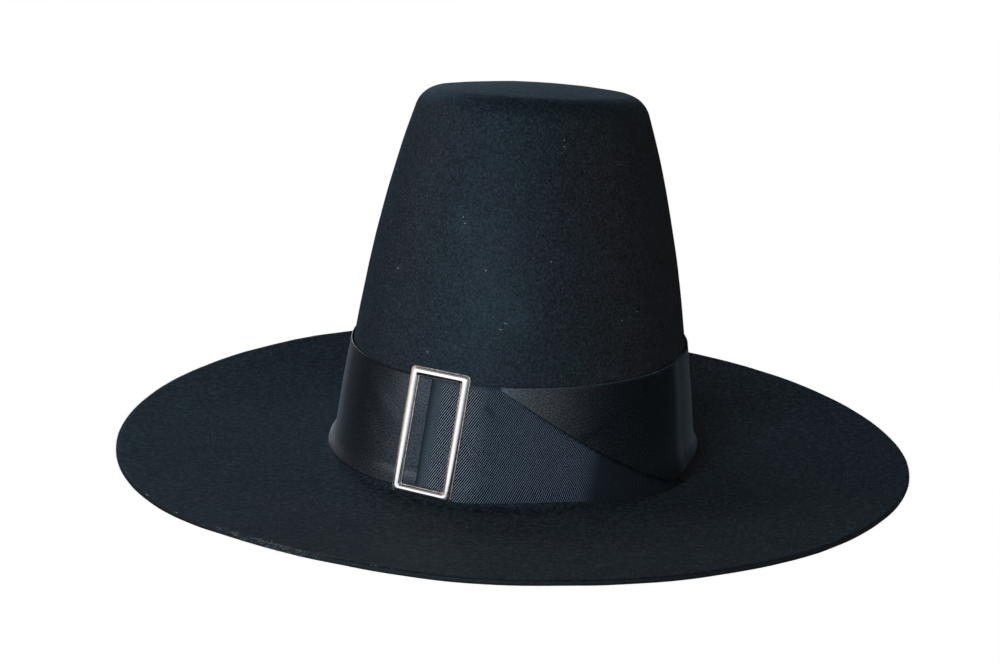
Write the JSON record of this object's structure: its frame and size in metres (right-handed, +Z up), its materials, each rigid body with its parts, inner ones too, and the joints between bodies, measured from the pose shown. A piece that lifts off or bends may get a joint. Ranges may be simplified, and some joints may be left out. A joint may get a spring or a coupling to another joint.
{
  "type": "capotain hat",
  "caption": "Tall felt hat with a tapering flat-topped crown, a wide upturned brim and a ribbon band fastened by a tall metal buckle.",
  "frame": {"origin": "middle of the outline seen from above, on the plane that the level inner ring of the brim rests on", "axes": "+Z up through the crown, -Y the front with the buckle, +X to the right as seen from above with the back at the top"},
  "size_m": [0.3789, 0.4159, 0.1807],
  "materials": {
    "felt": "matt near-black wool felt with a fine mottled grain and a little lint",
    "ribbon": "black finely ribbed ribbon with a soft sheen",
    "strap_ribbon": "black ribbon with a diagonal twill",
    "buckle_metal": "bright polished silver-coloured metal"
  },
  "bodies": {
    "root": {"felt_body": "felt", "band": "ribbon", "buckle_strap": "strap_ribbon", "buckle": "buckle_metal"}
  },
  "joints": []
}
